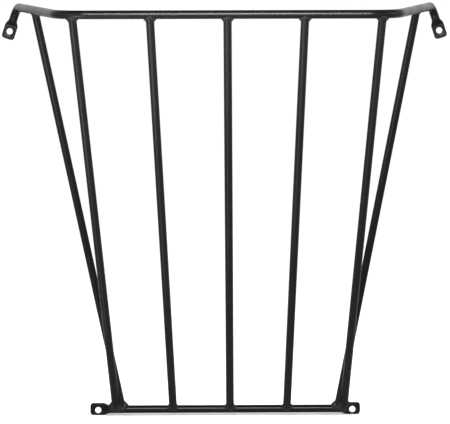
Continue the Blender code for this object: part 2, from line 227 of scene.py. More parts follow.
class StageLook(bpy.types.PropertyGroup):
    """Floor, light and camera"""

    floor_colour: colour("Floor", "Colour of the floor", (0.60, 0.60, 0.61))
    surround: colour("Surround", "Colour of the studio near the horizon", (1.0, 1.0, 1.0))
    zenith: colour("Zenith", "Colour of the studio overhead", (0.03, 0.03, 0.032))
    ambient: share("Ambient", "Soft light from all round", 0.18, 5.0)
    key_power: watts("Key power", "Softbox above and in front", 7.8)
    side_power: watts("Side power", "Softbox on each side", 0.7)
    front_power: watts("Front power", "Low panel in front, for the side bars", 1.5)
    upper_power: watts("Upper power", "Low panel that only the bars' upper halves mirror", 0.30)
    lower_power: watts("Lower power", "Low panel that the bars mirror down to their feet", 0.32)
    face_power: watts("Face power", "Level panel in front, for faces towards the camera", 0.5)
    camera_place: FloatVectorProperty(name="Camera place", description="Where the camera stands",
                                      default=(-0.0820, -6.3650, 0.2626), subtype="TRANSLATION",
                                      unit="LENGTH")
    camera_turn: FloatVectorProperty(name="Camera turn", description="Yaw, pitch and roll",
                                     default=[math.radians(a) for a in (0.740, 5.073, -0.116)],
                                     subtype="EULER", unit="ROTATION")
    lens: FloatProperty(name="Lens", description="Focal length", default=306.18, unit="CAMERA")


# Centre lines and tubes


class Path:
    """A centre line of straight runs joined by round bends, measured by its length."""

    def __init__(self, corners, radii):
        self.spans = []
        self.bends = []
        self.length = 0.0
        start = corners[0]
        for before, corner, after, radius in zip(corners, corners[1:], corners[2:], radii):
            inward = (corner - before).normalized()
            outward = (after - corner).normalized()
            turn = inward.angle(outward)
            setback = radius * math.tan(turn / 2)
            self.add_run(start, corner - inward * setback)
            self.bends.append((self.length, self.length + radius * turn, turn))
            side = (outward - inward * outward.dot(inward)).normalized()
            self.add_span(radius * turn, corner - inward * setback, inward, side, radius)
            start = corner + outward * setback
        self.add_run(start, corners[-1])

    def add_run(self, start, end):
        self.add_span((end - start).length, start, (end - start).normalized(), None, None)

    def add_span(self, span_length, start, heading, side, radius):
        self.spans.append((self.length, start, heading, side, radius))
        self.length += span_length

    def at(self, distance):
        """The point and the heading at a distance from the path's start."""
        found = self.spans[0]
        for span in self.spans:
            if span[0] <= distance:
                found = span
        begun, start, heading, side, radius = found
        along = distance - begun
        if side is None:
            return start + heading * along, heading
        turned = along / radius
        offset = heading * math.sin(turned) + side * (1 - math.cos(turned))
        return start + offset * radius, heading * math.cos(turned) + side * math.sin(turned)

    def nearest(self, point, guess):
        """The distance along the path of the place nearest to a point, from a close guess."""
        for _ in range(4):
            centre, heading = self.at(guess)
            guess += (point - centre).dot(heading)
        return guess

    def where(self, reached):
        """The distance at which reached(point) first holds."""
        return border(lambda distance: reached(self.at(distance)[0]), self.length, 0.0, 40)


def border(holds, inside, outside, halvings=30):
    """The value between one where a test holds and one where it doesn't, at which it changes."""
    for _ in range(halvings):
        middle = (inside + outside) / 2
        if holds(middle):
            inside = middle
        else:
            outside = middle
    return inside


def full_turn(count):
    """Evenly spaced angles of one whole turn."""
    return [2 * math.pi * k / count for k in range(count)]


def smooth_step(value):
    value = min(max(value, 0.0), 1.0)
    return value * value * (3 - 2 * value)


def rounding(into):
    """How far a quarter round edge is drawn in, as a share of its radius."""
    return 1 - math.sqrt(1 - min(max(into, 0.0), 1.0) ** 2)


def quarter_steps(steps):
    """Places along a quarter round edge, closest together at its start, as shares of its radius."""
    return [1 - math.cos(math.pi / 2 * k / steps) for k in range(steps + 1)]


def obround_point(place, width, thickness):
    """The point at a share of the way round a flat section with round edges."""
    straight = width - thickness
    edge = math.pi * thickness / 2
    along = (place % 1.0) * 2 * (straight + edge) + edge / 2
    sign = 1
    while along >= straight + edge:
        along -= straight + edge
        sign = -sign
    if along < edge:
        angle = 2 * along / thickness - math.pi / 2
        return (sign * (straight + thickness * math.cos(angle)) / 2,
                sign * thickness * math.sin(angle) / 2)
    return sign * (straight / 2 - (along - edge)), sign * thickness / 2


class PressedTube:
    """A tube on a path whose two ends are pressed into flat lugs, flush with the tube's back."""

    def __init__(self, path, tube, back, holes, sizes, lugs):
        self.path = path
        self.tube = tube
        self.back = back
        self.holes = holes
        self.wall = sizes.tube_wall
        self.sides = sizes.sides
        self.lugs = lugs
        self.width = (math.pi * (tube - self.wall) / 2 + self.wall) * lugs.spread
        self.found_skin = None

    def stations(self):
        """Distances of the rings: the sheared edge, round corners, flat, taper and bends."""
        lugs = self.lugs
        flat_end = lugs.end + lugs.flat
        near = [lugs.edge_round * place for place in quarter_steps(EDGE_STEPS)]
        near += [lugs.corner * place for place in quarter_steps(CORNER_STEPS)
                 if lugs.corner * place > lugs.edge_round]
        steps = round((flat_end - lugs.corner) / FLAT_STEP)
        near += [lugs.corner + (flat_end - lugs.corner) * k / steps for k in range(1, steps)]
        near += [flat_end + lugs.taper * 1.1 * k / TAPER_STEPS for k in range(TAPER_STEPS + 1)]
        rings = near + [self.path.length - distance for distance in near]
        for start, end, turn in self.path.bends:
            steps = max(6, round(turn / BEND_STEP))
            rings += [start + (end - start) * k / steps for k in range(steps + 1)]
        return sorted(rings)

    def section(self, distance, grow):
        """One ring of the outside, or of the bore where grow is negative."""
        lugs = self.lugs
        point, heading = self.path.at(distance)
        back = self.back(distance)
        back = (back - heading * back.dot(heading)).normalized()
        across = heading.cross(back)
        from_end = min(distance, self.path.length - distance)
        flatness = smooth_step((lugs.end + lugs.flat + lugs.taper - from_end) / lugs.taper)
        edge = lugs.edge_round * rounding(1 - from_end / lugs.edge_round) if grow == 0 else 0.0
        trim = lugs.corner * rounding(1 - from_end / lugs.corner)
        thickness = 2 * self.wall + lugs.slit
        width = self.width - 2 * trim
        outwards = -heading if distance < self.path.length / 2 else heading
        ring = []
        for k in range(self.sides):
            place = k / self.sides
            u, v = obround_point(place, width + 2 * (grow - edge), thickness + 2 * (grow - edge))
            front = v < 0
            v += (self.tube - thickness) / 2
            radius = self.tube / 2 + grow
            u = u * flatness + radius * math.cos(2 * math.pi * place) * (1 - flatness)
            v = v * flatness + radius * math.sin(2 * math.pi * place) * (1 - flatness)
            crown = lugs.crown * (1 - (2 * u / self.width) ** 2)
            push = crown * max(0.0, 1 - from_end / (2 * lugs.corner))
            spot = point + across * u + back * v + outwards * push
            if front and from_end < lugs.end + lugs.flat:
                spot += back * self.dish(spot)
            ring.append(spot)
        return ring

    def dish(self, spot):
        """How far the press has sunk the lug's front at a point near the bolt hole."""
        radius = self.lugs.dish_radius
        reach = min(math.hypot(spot.x - x, spot.z - z) for x, z in self.holes)
        return self.lugs.dish * smooth_step((radius - reach) / (radius * 0.35))

    def rings(self, bm, grow):
        return [add_ring(bm, self.section(distance, grow)) for distance in self.stations()]

    def skin_at(self, outside, towards):
        """Where a line towards the tube from outside it meets its skin, or None if it passes by."""
        if self.found_skin is None:
            bm = bmesh.new()
            skin(bm, self.rings(bm, 0.0))
            self.found_skin = BVHTree.FromBMesh(bm)
            bm.free()
        return self.found_skin.ray_cast(outside, towards)[0]

    def core(self, middle, reach, grow=0.0):
        """A solid of a stretch of the tube's outside, which copes what stands on it."""
        low, high = max(middle - reach, 0.0), min(middle + reach, self.path.length)
        stations = [low] + [at for at in self.stations() if low < at < high] + [high]
        return plug([self.section(distance, grow) for distance in stations])

    def mesh(self):
        """The tube itself, open at both ends."""
        bm = bmesh.new()
        outer, inner = self.rings(bm, 0.0), self.rings(bm, -self.wall)
        skin(bm, outer + inner[::-1] + outer[:1])
        return bm


def add_ring(bm, points):
    return [bm.verts.new(point) for point in points]


def skin(bm, rings):
    """Faces between each ring and the next."""
    for ring, following in zip(rings, rings[1:]):
        for k in range(len(ring)):
            after = (k + 1) % len(ring)
            bm.faces.new((ring[k], ring[after], following[after], following[k]))


def cap(bm, ring, centre=None):
    """Close a ring with a fan of triangles."""
    hub = bm.verts.new(centre or sum((vertex.co for vertex in ring), Vector()) / len(ring))
    for k in range(len(ring)):
        bm.faces.new((ring[k], ring[(k + 1) % len(ring)], hub))


def plug(outlines, centre=None):
    """A solid whose skin runs from outline to outline, capped at both ends."""
    bm = bmesh.new()
    rings = [add_ring(bm, outline) for outline in outlines]
    skin(bm, rings)
    cap(bm, rings[0])
    cap(bm, rings[-1], centre)
    return bm


# The rack's plan


class Bar:
    """A straight bar between a joint on the hoop and a joint on the rail."""

    def __init__(self, plan, name, tube, top_at, foot_at):
        self.name = name
        self.radius = tube / 2
        self.bore = tube / 2 - plan.sizes.tube_wall
        self.ends = {"top": (plan.hoop, top_at), "foot": (plan.rail, foot_at)}
        self.start = plan.rail.path.at(foot_at)[0]
        run = plan.hoop.path.at(top_at)[0] - self.start
        self.length = run.length
        self.aim = run.normalized()


class Joint:
    """Where a bar's end meets its host, the tube that it stands on.

    With round_host the host is taken as round all along, also at its pressed ends.
    """

    def __init__(self, bar, end, round_host=False):
        self.bar = bar
        self.round_host = round_host
        self.host, self.at = bar.ends[end]
        self.away = bar.aim if end == "foot" else -bar.aim
        self.centre, self.heading = self.host.path.at(self.at)
        self.normal = self.heading.cross(self.away).normalized()
        self.sideways = self.away.cross(self.normal)
        if self.sideways.dot(self.heading) < 0:
            self.sideways = -self.sideways
        self.host_radius = self.host.tube / 2

    def radial(self, turn):
        return self.sideways * math.cos(turn) + self.normal * math.sin(turn)

    def height(self, offset):
        """How far up the bar a line beside its axis comes out of the host's skin, or 0."""
        if self.round_host:
            beside = offset - self.heading * offset.dot(self.heading)
            upright = self.away - self.heading * self.away.dot(self.heading)
            slope, along = upright.length_squared, beside.dot(upright)
            room = along ** 2 - slope * (beside.length_squared - self.host_radius ** 2)
            return (math.sqrt(max(room, 0.0)) - along) / slope
        base = self.centre + offset
        place = self.host.skin_at(base + self.away * 4 * self.host_radius, -self.away)
        return max((place - base).dot(self.away), 0.0) if place else 0.0

    def on_host(self, point):
        """A point as a distance along the host and an angle round it, from the bar's own side."""
        along = self.host.path.nearest(point, self.at)
        centre, up, side = self.host_axes(along)
        out = point - centre
        return along, math.atan2(out.dot(side), out.dot(up))

    def host_axes(self, along):
        centre, heading = self.host.path.at(along)
        up = (self.away - heading * self.away.dot(heading)).normalized()
        side = (self.normal - heading * self.normal.dot(heading)).normalized()
        side = (side - up * side.dot(up)).normalized()
        return centre, up, side

    def host_skin(self, along, angle, depth):
        """A point at a depth under the host's skin, and the direction straight out of it."""
        centre, up, side = self.host_axes(along)
        radial = up * math.cos(angle) + side * math.sin(angle)
        place = None
        if not self.round_host:
            place = self.host.skin_at(centre + radial * 4 * self.host_radius, -radial)
        return (place or centre + radial * self.host_radius) - radial * depth, radial


class Plan:
    """Every tube's centre line and every joint, from the rack's sizes."""

    def __init__(self, scene):
        sizes, lugs = scene.rack_sizes, scene.rack_lugs
        self.scene = scene
        self.sizes = sizes
        self.lugs = lugs
        self.welds = scene.rack_welds
        half = sizes.top_hole_spacing / 2
        self.rail_z = sizes.rail_hole_drop - sizes.hole_rise
        corner = Vector((half - sizes.hoop_rise * math.tan(sizes.lug_lean), -sizes.hoop_tube / 2,
                         sizes.hoop_rise))
        down = Vector((math.sin(sizes.lug_lean), 0.0, -math.cos(sizes.lug_lean)))
        tip = corner + down * (sizes.hoop_rise / math.cos(sizes.lug_lean) + lugs.end)
        right = [tip, corner, Vector((sizes.hoop_front / 2, -sizes.hoop_depth, sizes.hoop_rise))]
        left = [Vector((-place.x, place.y, place.z)) for place in right]
        radii = [sizes.wall_bend, sizes.corner_radius, sizes.corner_radius, sizes.wall_bend]
        hoop_path = Path(left + right[::-1], radii)
        self.hoop = PressedTube(hoop_path, sizes.hoop_tube, self.hoop_back(hoop_path),
                                [(side * half, 0.0) for _, side in SIDES], sizes, lugs)
        half = sizes.rail_hole_spacing / 2
        ends = [Vector((side * (half + lugs.end), -sizes.rail_tube / 2, self.rail_z))
                for _, side in SIDES]
        self.rail = PressedTube(Path(ends, []), sizes.rail_tube, lambda distance: TO_WALL,
                                [(side * half, -sizes.hole_rise) for _, side in SIDES], sizes, lugs)
        self.plan_bars()

    @staticmethod
    def hoop_back(path):
        """Which way the tube's back faces: the wall at the lugs, up along the hoop."""
        start, end, _ = path.bends[0]

        def back(distance):
            from_end = min(distance, path.length - distance)
            turned = min(max((from_end - start) / (end - start), 0.0), 1.0) * math.pi / 2
            return Vector((0.0, math.cos(turned), math.sin(turned)))

        return back

    def plan_bars(self):
        sizes, hoop = self.sizes, self.hoop
        outer_top = sizes.hoop_front / 2 - sizes.outer_bar_to_corner
        outer_foot = sizes.rail_hole_spacing / 2 - sizes.outer_bar_to_hole
        side_foot = outer_foot + sizes.side_bite - (sizes.front_tube + sizes.side_tube) / 2
        middle = self.rail.path.length / 2 + sizes.feet_offset
        self.fronts = []
        for number in range(sizes.front_bars):
            place = 2 * number / (sizes.front_bars - 1) - 1
            top_at = hoop.path.where(lambda p: p.x > place * outer_top and p.y < -sizes.hoop_tube)
            self.fronts.append(Bar(self, "front_bar_%d" % (number + 1), sizes.front_tube, top_at,
                                   middle + place * outer_foot))
        left_top = hoop.path.where(lambda p: p.y < -sizes.side_standoff)
        self.side_bars = []
        for name, side in SIDES:
            top_at = left_top if side < 0 else hoop.path.length - left_top
            self.side_bars.append(Bar(self, "side_bar_" + name, sizes.side_tube, top_at,
                                      middle + side * side_foot))
        self.pairs = [("left", self.side_bars[0], self.fronts[0]),
                      ("right", self.side_bars[1], self.fronts[-1])]


# Making and finishing pieces


def turn_outwards(bm):
    """Point every face outwards."""
    bmesh.ops.recalc_face_normals(bm, faces=bm.faces)
    if bm.calc_volume(signed=True) < 0:
        bmesh.ops.reverse_faces(bm, faces=bm.faces)


def make_piece(name, bm, material):
    """Link a finished mesh with one material. The mesh is used up."""
    turn_outwards(bm)
    mesh = bpy.data.meshes.new(name)
    bm.to_mesh(mesh)
    bm.free()
    mesh.shade_smooth()
    mesh.set_sharp_from_angle(angle=SHARP_ANGLE)
    mesh.materials.append(material)
    piece = bpy.data.objects.new(name, mesh)
    bpy.context.scene.collection.objects.link(piece)
    return piece


def stand_for(plan, node, kind, bm):
    """Make the piece that stands for a CAD node, in the node's own place, with its kind's coat."""
    word = "_bead" if kind == "weld" else "_tube"
    piece = make_piece(node + word, bm, coat_of(plan.scene, kind))
    check_place(piece, node)
    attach(piece, "root")
    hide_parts(node)


def check_place(piece, node):
    """Stop if a piece isn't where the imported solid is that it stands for."""
    low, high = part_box(node)
    corners = [piece.matrix_world @ vertex.co for vertex in piece.data.vertices]
    for axis in range(3):
        values = [corner[axis] for corner in corners]
        strays = abs(min(values) - low[axis]), abs(max(values) - high[axis])
        if max(strays) > PLACE_SLACK:
            raise ValueError("%s strays by %s from where %s is" % (piece.name, strays, node))


def combine(bm, others, operation):
    """The mesh joined with or cut by other closed meshes, as one new mesh. All are used up."""
    group = bpy.data.collections.new("combine")
    cutters = bpy.data.collections.new("combine_others")
    bpy.context.scene.collection.children.link(group)
    made = []
    for number, one in enumerate([bm] + others):
        turn_outwards(one)
        mesh = bpy.data.meshes.new("combine_%d" % number)
        one.to_mesh(mesh)
        one.free()
        item = bpy.data.objects.new(mesh.name, mesh)
        group.objects.link(item)
        if made:
            cutters.objects.link(item)
        made.append(item)
    modifier = made[0].modifiers.new("combine", "BOOLEAN")
    modifier.operation = operation
    modifier.solver = "EXACT"
    modifier.operand_type = "COLLECTION"
    modifier.collection = cutters
    evaluated = made[0].evaluated_get(bpy.context.evaluated_depsgraph_get())
    result = bmesh.new()
    result.from_mesh(evaluated.to_mesh())
    evaluated.to_mesh_clear()
    for item in made:
        mesh = item.data
        bpy.data.objects.remove(item, do_unlink=True)
        bpy.data.meshes.remove(mesh)
    bpy.data.collections.remove(cutters)
    bpy.data.collections.remove(group)
    return result


def hole_cutter(plan, x, z):
    """A cutter through a lug along Y, flared where the hole's rims are rounded."""
    behind, ahead = 0.02, -0.03
    round_off = plan.lugs.rim_round
    front = -(2 * plan.sizes.tube_wall + plan.lugs.slit - plan.lugs.dish)
    profile = [(1.0, behind)]
    for level, sign in ((0.0, -1), (front, 1)):
        arc = [(rounding(1 - k / RIM_STEPS), level + sign * round_off * k / RIM_STEPS)
               for k in range(RIM_STEPS + 1)]
        profile += arc if sign < 0 else arc[::-1]
    profile.append((1.0, ahead))
    outlines = []
    for flare, y in profile:
        radius = plan.sizes.bolt_hole / 2 + round_off * flare
        outlines.append([Vector((x + radius * math.cos(turn), y, z + radius * math.sin(turn)))
                         for turn in full_turn(CUTTER_SIDES)])
    return plug(outlines)


def drilled(plan, tube):
    """A pressed tube with its bolt holes."""
    cutters = [hole_cutter(plan, x, z) for x, z in tube.holes]
    return combine(tube.mesh(), cutters, "DIFFERENCE")


def rod(bar, clearance):
    """A solid round bar in a bar's place, longer than it, for cutting what meets it."""
    across = (ALONG_RAIL - bar.aim * bar.aim.dot(ALONG_RAIL)).normalized()
    other = bar.aim.cross(across)
    radius = bar.radius + clearance
    return plug([[bar.start + bar.aim * height
                  + (across * math.cos(turn) + other * math.sin(turn)) * radius
                  for turn in full_turn(CUTTER_SIDES)]
                 for height in (-ROD_OVERRUN, bar.length + ROD_OVERRUN)])


def wall_slab(plan):
    """A block behind the rail, at whose front the paired welds end."""
    half = 0.03
    bm = bmesh.new()
    bmesh.ops.create_cube(bm, size=2.0)
    bmesh.ops.scale(bm, verts=bm.verts, vec=(plan.sizes.top_hole_spacing, half, half))
    bmesh.ops.translate(bm, verts=bm.verts, vec=(0.0, half - plan.welds.foot_back, plan.rail_z))
    return bm


def bar_mesh(plan, bar, others=()):
    """A tube whose ends are coped to the tubes that it stands on, and cut by other bars' rods."""
    foot, top = Joint(bar, "foot"), Joint(bar, "top")
    bm = bmesh.new()
    rings = []
    for radius, steps in ((bar.radius, BAR_RINGS), (bar.bore, BAR_RINGS[::-1])):
        for step in steps:
            middle = foot.centre.lerp(top.centre, step)
            rings.append(add_ring(bm, [middle + foot.radial(turn) * radius
                                       for turn in full_turn(plan.sizes.sides)]))
    skin(bm, rings + rings[:1])
    cores = [joint.host.core(joint.at, 3 * joint.host_radius) for joint in (foot, top)]
    return combine(bm, cores + list(others), "DIFFERENCE")


class Bead:
    """A weld bead round a bar's end: a rippled skin from bar to host, closed under the seam.

    The legs are longest at the bar's sides, where the tubes meet square, and short in front and
    behind, where they are flush. A foot bead stops in front of the wall, so it has two ends. A
    solid one runs all round and is closed through the bar, for cutting to fit its neighbours.
    """

    def __init__(self, plan, bar, end, extra=0.0, solid=False):
        self.welds = plan.welds
        self.head_radius = plan.sizes.bolt_head / 2
        self.bar = bar
        self.joint = Joint(bar, end, solid)
        self.extra = extra
        self.solid = solid
        self.closed = end == "top" or solid
        self.seed = 7.3 * self.joint.centre.x + 3.1 * self.joint.centre.z
        self.turns = self.find_turns()
        self.count = len(self.turns)
        self.seams = [self.seam(turn) for turn in self.turns]
        self.on_host = [self.joint.on_host(place) for _, _, place in self.seams]
        gaps = [(self.seams[k][2] - self.seams[k - 1][2]).length for k in range(self.count)]
        self.run = [sum(gaps[1:k + 1]) for k in range(self.count)]
        self.whole = self.run[-1] + (gaps[0] if self.closed else 0.0)
        self.ripples = max(1, round(self.whole / self.welds.ripple_pitch))

    def seam(self, turn):
        """Where the two tubes' skins meet: offset from the bar's axis, rise along it, place."""
        offset = self.joint.radial(turn) * self.bar.radius
        rise = self.joint.height(offset)
        return offset, rise, self.joint.centre + offset + self.joint.away * rise

    def find_turns(self):
        """Angles round the bar: a whole turn, or the stretch in front of the wall."""
        if self.closed:
            return full_turn(RING_BEAD_STEPS)

        def in_front(turn):
            return self.seam(turn)[2].y < -self.welds.foot_back

        first = border(in_front, math.pi / 2, -math.pi / 2)
        last = border(in_front, math.pi / 2, 3 * math.pi / 2)
        return [first + (last - first) * k / (OPEN_BEAD_STEPS - 1) for k in range(OPEN_BEAD_STEPS)]

    def outward(self, k):
        """The way from the seam over the host, as a step along it and a step round it."""
        joint, on_host = self.joint, self.on_host
        before = k - 1 if self.closed else max(k - 1, 0)
        after = (k + 1) % self.count if self.closed else min(k + 1, self.count - 1)
        along, angle = on_host[k]
        tangent = Vector((on_host[after][0] - on_host[before][0],
                          (on_host[after][1] - on_host[before][1]) * joint.host_radius))
        outward = Vector((tangent.y, -tangent.x)).normalized()
        if outward.dot(Vector((along - joint.at, angle * joint.host_radius))) < 0:
            outward = -outward
        return outward

    def fade(self, k):
        """The share of its size that the bead keeps: it dwindles towards an open end."""
        if self.closed:
            return 1.0
        to_end = min(self.run[k], self.whole - self.run[k])
        return max(END_SHARE, 1 - rounding(1 - to_end / (3 * self.welds.flush_leg)))

    def leg(self, k, longest, shift):
        """How far the bead reaches from the seam, over the bar or over the host."""
        shortest = self.welds.flush_leg
        squareness = math.cos(self.turns[k]) ** 2
        spot = Vector((self.turns[k] * 2.2 + shift, self.seed * 9, 0.5))
        uneven = 1 + self.welds.wander * noise.noise(spot)
        return (shortest + (longest - shortest) * squareness + self.extra) * self.fade(k) * uneven

    def toe(self, k):
        """The bead's edge on the host, clear of bolt heads, and the way out of the skin there."""
        joint, welds, outward = self.joint, self.welds, self.outward(k)
        along, angle = self.on_host[k]

        def toe_at(leg):
            return joint.host_skin(along + outward.x * leg,
                                   angle + outward.y * leg / joint.host_radius, welds.sink)

        def clear(leg):
            spot = toe_at(leg)[0]
            return all(math.hypot(spot.x - x, spot.z - z) > self.head_radius
                       for x, z in joint.host.holes)

        leg = self.leg(k, welds.rail_leg, 40.0)
        return toe_at(leg if clear(leg) else border(clear, 0.0, leg))

    def row(self, k):
        """The points across the bead at one angle, from the bar to the host."""
        joint, welds = self.joint, self.welds
        offset, rise, _ = self.seams[k]
        radial = joint.radial(self.turns[k])
        climb = rise + self.leg(k, welds.bar_leg, 0.0)
        foot = joint.centre + offset + joint.away * climb - radial * welds.sink
        toe, toe_radial = self.toe(k)
        proud = (radial + toe_radial).normalized()
        squareness = math.cos(self.turns[k]) ** 2
        swell = welds.crown + self.extra / 2 - (welds.crown + welds.hollow) * squareness
        swell = swell * self.fade(k) + welds.sink
        points = []
        for step in range(WELD_STEPS + 1):
            across = step / WELD_STEPS
            arch = 4 * across * (1 - across)
            phase = self.run[k] / self.whole * self.ripples + RIPPLE_LAG * (2 * across - 1) ** 2
            crest = 0.5 + 0.5 * math.cos(2 * math.pi * phase)
            jitter = 0.75 + 0.5 * noise.noise(Vector((phase * 0.9, across * 2.0, self.seed)))
            ripple = welds.ripple_height * (crest ** RIPPLE_POWER * jitter - 0.5)
            height = swell * arch + ripple * min(1.0, 1.6 * arch)
            points.append(foot.lerp(toe, across) + proud * height)
        return points

    def root(self, k):
        """The point under the seam on which the bead closes."""
        sink, radial = self.welds.sink, self.joint.radial(self.turns[k])
        return self.seams[k][2] - radial * 2 * sink - self.joint.away * 2 * sink

    def mesh(self):
        rows = [self.row(k) for k in range(self.count)]
        if self.solid:
            return plug(zip(*rows), self.joint.centre)
        bm = bmesh.new()
        rings = [add_ring(bm, row + [self.root(k)]) for k, row in enumerate(rows)]
        if self.closed:
            skin(bm, rings + rings[:1])
        else:
            skin(bm, rings)
            bm.faces.new(rings[0])
            bm.faces.new(rings[-1])
        return bm


# Shader maths


class Value:
    """A number that changes over a surface, written as an ordinary expression."""

    def __init__(self, shader, socket):
        self.shader = shader
        self.socket = socket

    def __add__(self, other):
        return self.shader.maths("ADD", self, other)

    def __sub__(self, other):
        return self.shader.maths("SUBTRACT", self, other)

    def __rsub__(self, other):
        return self.shader.maths("SUBTRACT", other, self)

    def __mul__(self, other):
        return self.shader.maths("MULTIPLY", self, other)

    def __pow__(self, other):
        return self.shader.maths("POWER", self, other)

    __radd__ = __add__
    __rmul__ = __mul__

    def between(self, low, high):
        """0 below low, 1 above high, and a smooth change from one to the other."""
        return self.shader.value("ShaderNodeMapRange", {"interpolation_type": "SMOOTHSTEP"},
                                 {"Value": self, "From Min": low, "From Max": high})


class Shader:
    """The nodes of a material or the world."""

    def __init__(self, owner):
        owner.use_nodes = True
        self.tree = owner.node_tree
        self.tree.nodes.clear()

    def add(self, kind, settings=None, sockets=None):
        """A node of a type, with its settings, and with values or links in its sockets."""
        node = self.tree.nodes.new(kind)
        for name, setting in (settings or {}).items():
            setattr(node, name, setting)
        for name, value in (sockets or {}).items():
            socket = node.inputs[name] if isinstance(name, int) else self.named(node.inputs, name)
            if isinstance(value, Value):
                self.tree.links.new(value.socket, socket)
            elif isinstance(value, bpy.types.NodeSocket):
                self.tree.links.new(value, socket)
            elif socket.type == "RGBA":
                socket.default_value = (*value, 1.0)[:4]
            else:
                socket.default_value = value
        return node

    @staticmethod
    def named(sockets, name):
        """The socket of a name or an identifier: a Mix node has several sockets of one name."""
        return next(s for s in sockets if s.identifier == name or (s.name == name and s.enabled))

    def value(self, kind, settings=None, sockets=None, output=0):
        return Value(self, self.add(kind, settings, sockets).outputs[output])

    def maths(self, operation, *values):
        return self.value("ShaderNodeMath", {"operation": operation}, dict(enumerate(values)))

    def blend(self, factor, first, second):
        """A colour from first, where the factor is 0, to second, where it is 1."""
        node = self.add("ShaderNodeMix", {"data_type": "RGBA"},
                        {"Factor_Float": factor, "A_Color": first, "B_Color": second})
        return self.named(node.outputs, "Result_Color")

    def clouds(self, place, size, detail, distortion=0.0):
        """Soft noise from 0 to 1 whose cells are about this size in metres."""
        return self.value("ShaderNodeTexNoise", None, {
            "Vector": place, "Scale": 1 / size, "Detail": detail, "Distortion": distortion})


def coat_material(look, name, base, roughness, lumps):
    """Semi gloss powder coat: orange peel, fine grain, uneven gloss, and thin, grey edges."""
    material = bpy.data.materials.new(name)
    shader = Shader(material)
    place = shader.add("ShaderNodeTexCoord").outputs["Object"]
    peel = shader.clouds(place, look.peel_size, 1.0)
    grain = shader.clouds(place, look.peel_size / 7, 2.0)
    drift = shader.clouds(place, PATCH_SIZE, 3.0, 0.4)
    specks = shader.clouds(place, SPECK_SIZE, 4.0).between(0.62, 0.72)
    edges = shader.value("ShaderNodeNewGeometry", output="Pointiness").between(0.515, 0.58)
    thin = 0.35 * drift + 0.25 * specks + 0.6 * edges
    relief = peel + 0.22 * grain + lumps * shader.clouds(place, LUMP_SIZE, 3.0)
    bump = shader.add("ShaderNodeBump", None, {"Strength": 1.0, "Distance": look.peel_depth,
                                               "Height": relief})
    surface = shader.add("ShaderNodeBsdfPrincipled", None, {
        "Base Color": shader.blend(thin, base, look.thin),
        "Roughness": roughness + 0.24 * (drift - 0.5) + 0.05 * (grain - 0.5) + 0.10 * edges,
        "Specular IOR Level": look.gloss,
        "Normal": bump.outputs["Normal"]})
    shader.add("ShaderNodeOutputMaterial", None, {"Surface": surface.outputs["BSDF"]})
    return material


# Operators


def coat_of(scene, kind):
    """The coating of one kind of piece, made once."""
    name = kind + "_powder_coat"
    if name in bpy.data.materials:
        return bpy.data.materials[name]
    look = scene.rack_coat
    if kind == "weld":
        return coat_material(look, name, look.weld, look.weld_roughness, 1.5)
    return coat_material(look, name, look.colour, look.roughness, 0.0)


class RACK_OT_hoop(bpy.types.Operator):
    """Bend the top hoop, press its lugs and drill their bolt holes"""

    bl_idname = "rack.hoop"
    bl_label = "Top hoop"

    def execute(self, context):
        plan = Plan(context.scene)
        stand_for(plan, "top_hoop", "hoop", drilled(plan, plan.hoop))
        return {"FINISHED"}


class RACK_OT_rail(bpy.types.Operator):
    """Press the bottom rail's lugs and drill their bolt holes"""

    bl_idname = "rack.rail"
    bl_label = "Bottom rail"

    def execute(self, context):
        plan = Plan(context.scene)
        stand_for(plan, "bottom_rail", "rail", drilled(plan, plan.rail))
        return {"FINISHED"}


class RACK_OT_front_bars(bpy.types.Operator):
    """Cut the front bars to length and cope their ends"""

    bl_idname = "rack.front_bars"
    bl_label = "Front bars"

    def execute(self, context):
        plan = Plan(context.scene)
        for bar in plan.fronts:
            stand_for(plan, bar.name, "bar", bar_mesh(plan, bar))
        return {"FINISHED"}


class RACK_OT_side_bars(bpy.types.Operator):
    """Cut the side bars, cope their ends and grind their feet to fit the outer bars"""

    bl_idname = "rack.side_bars"
    bl_label = "Side bars"

    def execute(self, context):
        plan = Plan(context.scene)
        for _, side_bar, outer_bar in plan.pairs:
            bm = bar_mesh(plan, side_bar, [rod(outer_bar, GROUND_GAP)])
            stand_for(plan, side_bar.name, "bar", bm)
        return {"FINISHED"}


class RACK_OT_top_welds(bpy.types.Operator):
    """Run a weld bead round the top of every bar"""

    bl_idname = "rack.top_welds"
    bl_label = "Top welds"

    def execute(self, context):
        plan = Plan(context.scene)
        for bar in plan.fronts + plan.side_bars:
            bm = Bead(plan, bar, "top").mesh()
            stand_for(plan, "weld_top_" + bar.name, "weld", bm)
        return {"FINISHED"}


class RACK_OT_foot_welds(bpy.types.Operator):
    """Run a weld bead round the front of every bar's foot, with one for each pair of bars"""

    bl_idname = "rack.foot_welds"
    bl_label = "Foot welds"

    def execute(self, context):
        plan = Plan(context.scene)
        for bar in plan.fronts[1:-1]:
            bm = Bead(plan, bar, "foot").mesh()
            stand_for(plan, "weld_foot_" + bar.name, "weld", bm)
        for word, side_bar, outer_bar in plan.pairs:
            beads = [Bead(plan, bar, "foot", plan.welds.pair_extra, True).mesh()
                     for bar in (outer_bar, side_bar)]
            middle = (outer_bar.ends["foot"][1] + side_bar.ends["foot"][1]) / 2
            tubes = [rod(bar, -plan.welds.sink) for bar in (outer_bar, side_bar)]
            tubes.append(plan.rail.core(middle, PAIR_REACH, -plan.welds.sink))
            bm = combine(beads[0], beads[1:], "UNION")
            bm = combine(bm, tubes + [wall_slab(plan)], "DIFFERENCE")
            stand_for(plan, "weld_foot_pair_" + word, "weld", bm)
        return {"FINISHED"}


